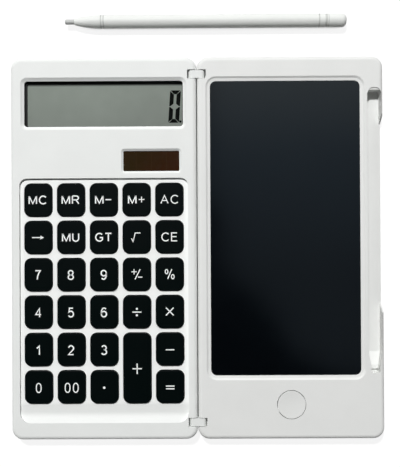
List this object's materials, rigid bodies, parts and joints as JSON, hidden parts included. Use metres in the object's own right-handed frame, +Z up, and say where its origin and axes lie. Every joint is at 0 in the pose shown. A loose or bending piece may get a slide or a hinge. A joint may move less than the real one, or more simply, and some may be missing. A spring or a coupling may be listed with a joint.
{
  "type": "folding calculator with writing tablet",
  "caption": "Folding case with a keyed calculator in its left half, a pressure writing tablet with an erase button in its right half, hinge links, and a loose stylus.",
  "frame": {"origin": "centre of the footprint of the opened case and the stylus beyond it, on the surface they lie on", "axes": "+X from the calculator half to the tablet half, +Y along the hinge to the display end, +Z up, out of the keys and the screen"},
  "size_m": [0.1676, 0.1926, 0.0085],
  "materials": {
    "case_white": "satin moulded white plastic",
    "back_white": "satin moulded white plastic",
    "link_white": "satin moulded white plastic",
    "button_white": "satin moulded white plastic",
    "stylus_white": "semi-gloss white plastic",
    "tip_grey": "matt grey plastic",
    "key_black": "satin black plastic",
    "frame_black": "matt black plastic",
    "lcd_cover": "clear acrylic sheet",
    "lcd_glass": "grey-green liquid crystal display",
    "connector_rubber": "striped conductive rubber",
    "solar_brown": "dark brown cells under clear resin",
    "dome_rubber": "grey silicone rubber",
    "board_green": "green circuit board",
    "cell_steel": "plain steel",
    "contact_brass": "plated spring strip",
    "screw_steel": "plain steel",
    "pin_steel": "plain steel",
    "film_dark": "dark glossy writing film",
    "backing_black": "matt black plastic",
    "switch_black": "matt black plastic"
  },
  "bodies": {
    "calculator": {"calculator_front_shell": "case_white", "calculator_back_shell": "back_white", "display_frame": "frame_black", "display_cover": "lcd_cover", "display_glass": "lcd_glass", "display_connector": "connector_rubber", "solar_cell": "solar_brown", "dome_sheet": "dome_rubber", "main_board": "board_green", "button_cell": "cell_steel", "calculator_contacts": "contact_brass", "calculator_battery_door": "back_white", "calculator_screws": "screw_steel", "calculator_hinge_pins": "pin_steel"},
    "links": {"hinge_links": "link_white"},
    "tablet": {"tablet_front_shell": "case_white", "tablet_back_shell": "back_white", "writing_film": "film_dark", "film_backing": "backing_black", "erase_switch": "switch_black", "erase_board": "board_green", "coin_cell": "cell_steel", "tablet_contacts": "contact_brass", "tablet_battery_door": "back_white", "tablet_screws": "screw_steel", "tablet_hinge_pins": "pin_steel"},
    "erase_button": {"erase_button": "button_white"},
    "stylus": {"stylus_tip": "tip_grey", "stylus_nose": "stylus_white", "stylus_barrel": "stylus_white", "stylus_end_cap": "stylus_white"},
    "key_mc": {"key_mc": "key_black"},
    "key_mr": {"key_mr": "key_black"},
    "key_m_minus": {"key_m_minus": "key_black"},
    "key_m_plus": {"key_m_plus": "key_black"},
    "key_ac": {"key_ac": "key_black"},
    "key_back": {"key_back": "key_black"},
    "key_mu": {"key_mu": "key_black"},
    "key_gt": {"key_gt": "key_black"},
    "key_root": {"key_root": "key_black"},
    "key_ce": {"key_ce": "key_black"},
    "key_7": {"key_7": "key_black"},
    "key_8": {"key_8": "key_black"},
    "key_9": {"key_9": "key_black"},
    "key_sign": {"key_sign": "key_black"},
    "key_percent": {"key_percent": "key_black"},
    "key_4": {"key_4": "key_black"},
    "key_5": {"key_5": "key_black"},
    "key_6": {"key_6": "key_black"},
    "key_divide": {"key_divide": "key_black"},
    "key_times": {"key_times": "key_black"},
    "key_1": {"key_1": "key_black"},
    "key_2": {"key_2": "key_black"},
    "key_3": {"key_3": "key_black"},
    "key_plus": {"key_plus": "key_black"},
    "key_minus": {"key_minus": "key_black"},
    "key_0": {"key_0": "key_black"},
    "key_00": {"key_00": "key_black"},
    "key_point": {"key_point": "key_black"},
    "key_equals": {"key_equals": "key_black"}
  },
  "joints": [
    {"name": "link_fold", "type": "hinge", "parent": "calculator", "child": "links", "pos_m": [-0.0021, -0.0103, 0.0066], "axis": [0, -1, 0], "range_deg": [0, 90]},
    {"name": "tablet_fold", "type": "hinge", "parent": "links", "child": "tablet", "pos_m": [0.0021, -0.0103, 0.0066], "axis": [0, -1, 0], "range_deg": [0, 90]},
    {"name": "erase_press", "type": "slide", "parent": "tablet", "child": "erase_button", "axis": [0, 0, -1], "range_m": [0, 0.0006], "stiffness_N_per_m": 900, "springref_m": -0.0004},
    {"name": "stylus_lift", "type": "slide", "parent": "calculator", "child": "stylus", "axis": [0, 0, 1], "range_m": [0, 0.06]},
    {"name": "key_mc_press", "type": "slide", "parent": "calculator", "child": "key_mc", "axis": [0, 0, -1], "range_m": [0, 0.0009], "stiffness_N_per_m": 600, "springref_m": -0.0004, "deforming": ["dome_sheet"]},
    {"name": "key_mr_press", "type": "slide", "parent": "calculator", "child": "key_mr", "axis": [0, 0, -1], "range_m": [0, 0.0009], "stiffness_N_per_m": 600, "springref_m": -0.0004, "deforming": ["dome_sheet"]},
    {"name": "key_m_minus_press", "type": "slide", "parent": "calculator", "child": "key_m_minus", "axis": [0, 0, -1], "range_m": [0, 0.0009], "stiffness_N_per_m": 600, "springref_m": -0.0004, "deforming": ["dome_sheet"]},
    {"name": "key_m_plus_press", "type": "slide", "parent": "calculator", "child": "key_m_plus", "axis": [0, 0, -1], "range_m": [0, 0.0009], "stiffness_N_per_m": 600, "springref_m": -0.0004, "deforming": ["dome_sheet"]},
    {"name": "key_ac_press", "type": "slide", "parent": "calculator", "child": "key_ac", "axis": [0, 0, -1], "range_m": [0, 0.0009], "stiffness_N_per_m": 600, "springref_m": -0.0004, "deforming": ["dome_sheet"]},
    {"name": "key_back_press", "type": "slide", "parent": "calculator", "child": "key_back", "axis": [0, 0, -1], "range_m": [0, 0.0009], "stiffness_N_per_m": 600, "springref_m": -0.0004, "deforming": ["dome_sheet"]},
    {"name": "key_mu_press", "type": "slide", "parent": "calculator", "child": "key_mu", "axis": [0, 0, -1], "range_m": [0, 0.0009], "stiffness_N_per_m": 600, "springref_m": -0.0004, "deforming": ["dome_sheet"]},
    {"name": "key_gt_press", "type": "slide", "parent": "calculator", "child": "key_gt", "axis": [0, 0, -1], "range_m": [0, 0.0009], "stiffness_N_per_m": 600, "springref_m": -0.0004, "deforming": ["dome_sheet"]},
    {"name": "key_root_press", "type": "slide", "parent": "calculator", "child": "key_root", "axis": [0, 0, -1], "range_m": [0, 0.0009], "stiffness_N_per_m": 600, "springref_m": -0.0004, "deforming": ["dome_sheet"]},
    {"name": "key_ce_press", "type": "slide", "parent": "calculator", "child": "key_ce", "axis": [0, 0, -1], "range_m": [0, 0.0009], "stiffness_N_per_m": 600, "springref_m": -0.0004, "deforming": ["dome_sheet"]},
    {"name": "key_7_press", "type": "slide", "parent": "calculator", "child": "key_7", "axis": [0, 0, -1], "range_m": [0, 0.0009], "stiffness_N_per_m": 600, "springref_m": -0.0004, "deforming": ["dome_sheet"]},
    {"name": "key_8_press", "type": "slide", "parent": "calculator", "child": "key_8", "axis": [0, 0, -1], "range_m": [0, 0.0009], "stiffness_N_per_m": 600, "springref_m": -0.0004, "deforming": ["dome_sheet"]},
    {"name": "key_9_press", "type": "slide", "parent": "calculator", "child": "key_9", "axis": [0, 0, -1], "range_m": [0, 0.0009], "stiffness_N_per_m": 600, "springref_m": -0.0004, "deforming": ["dome_sheet"]},
    {"name": "key_sign_press", "type": "slide", "parent": "calculator", "child": "key_sign", "axis": [0, 0, -1], "range_m": [0, 0.0009], "stiffness_N_per_m": 600, "springref_m": -0.0004, "deforming": ["dome_sheet"]},
    {"name": "key_percent_press", "type": "slide", "parent": "calculator", "child": "key_percent", "axis": [0, 0, -1], "range_m": [0, 0.0009], "stiffness_N_per_m": 600, "springref_m": -0.0004, "deforming": ["dome_sheet"]},
    {"name": "key_4_press", "type": "slide", "parent": "calculator", "child": "key_4", "axis": [0, 0, -1], "range_m": [0, 0.0009], "stiffness_N_per_m": 600, "springref_m": -0.0004, "deforming": ["dome_sheet"]},
    {"name": "key_5_press", "type": "slide", "parent": "calculator", "child": "key_5", "axis": [0, 0, -1], "range_m": [0, 0.0009], "stiffness_N_per_m": 600, "springref_m": -0.0004, "deforming": ["dome_sheet"]},
    {"name": "key_6_press", "type": "slide", "parent": "calculator", "child": "key_6", "axis": [0, 0, -1], "range_m": [0, 0.0009], "stiffness_N_per_m": 600, "springref_m": -0.0004, "deforming": ["dome_sheet"]},
    {"name": "key_divide_press", "type": "slide", "parent": "calculator", "child": "key_divide", "axis": [0, 0, -1], "range_m": [0, 0.0009], "stiffness_N_per_m": 600, "springref_m": -0.0004, "deforming": ["dome_sheet"]},
    {"name": "key_times_press", "type": "slide", "parent": "calculator", "child": "key_times", "axis": [0, 0, -1], "range_m": [0, 0.0009], "stiffness_N_per_m": 600, "springref_m": -0.0004, "deforming": ["dome_sheet"]},
    {"name": "key_1_press", "type": "slide", "parent": "calculator", "child": "key_1", "axis": [0, 0, -1], "range_m": [0, 0.0009], "stiffness_N_per_m": 600, "springref_m": -0.0004, "deforming": ["dome_sheet"]},
    {"name": "key_2_press", "type": "slide", "parent": "calculator", "child": "key_2", "axis": [0, 0, -1], "range_m": [0, 0.0009], "stiffness_N_per_m": 600, "springref_m": -0.0004, "deforming": ["dome_sheet"]},
    {"name": "key_3_press", "type": "slide", "parent": "calculator", "child": "key_3", "axis": [0, 0, -1], "range_m": [0, 0.0009], "stiffness_N_per_m": 600, "springref_m": -0.0004, "deforming": ["dome_sheet"]},
    {"name": "key_plus_press", "type": "slide", "parent": "calculator", "child": "key_plus", "axis": [0, 0, -1], "range_m": [0, 0.0009], "stiffness_N_per_m": 600, "springref_m": -0.0004, "deforming": ["dome_sheet"]},
    {"name": "key_minus_press", "type": "slide", "parent": "calculator", "child": "key_minus", "axis": [0, 0, -1], "range_m": [0, 0.0009], "stiffness_N_per_m": 600, "springref_m": -0.0004, "deforming": ["dome_sheet"]},
    {"name": "key_0_press", "type": "slide", "parent": "calculator", "child": "key_0", "axis": [0, 0, -1], "range_m": [0, 0.0009], "stiffness_N_per_m": 600, "springref_m": -0.0004, "deforming": ["dome_sheet"]},
    {"name": "key_00_press", "type": "slide", "parent": "calculator", "child": "key_00", "axis": [0, 0, -1], "range_m": [0, 0.0009], "stiffness_N_per_m": 600, "springref_m": -0.0004, "deforming": ["dome_sheet"]},
    {"name": "key_point_press", "type": "slide", "parent": "calculator", "child": "key_point", "axis": [0, 0, -1], "range_m": [0, 0.0009], "stiffness_N_per_m": 600, "springref_m": -0.0004, "deforming": ["dome_sheet"]},
    {"name": "key_equals_press", "type": "slide", "parent": "calculator", "child": "key_equals", "axis": [0, 0, -1], "range_m": [0, 0.0009], "stiffness_N_per_m": 600, "springref_m": -0.0004, "deforming": ["dome_sheet"]}
  ],
  "couplings": [
    {"joint": "link_fold", "follows": "tablet_fold", "ratio": 1}
  ]
}
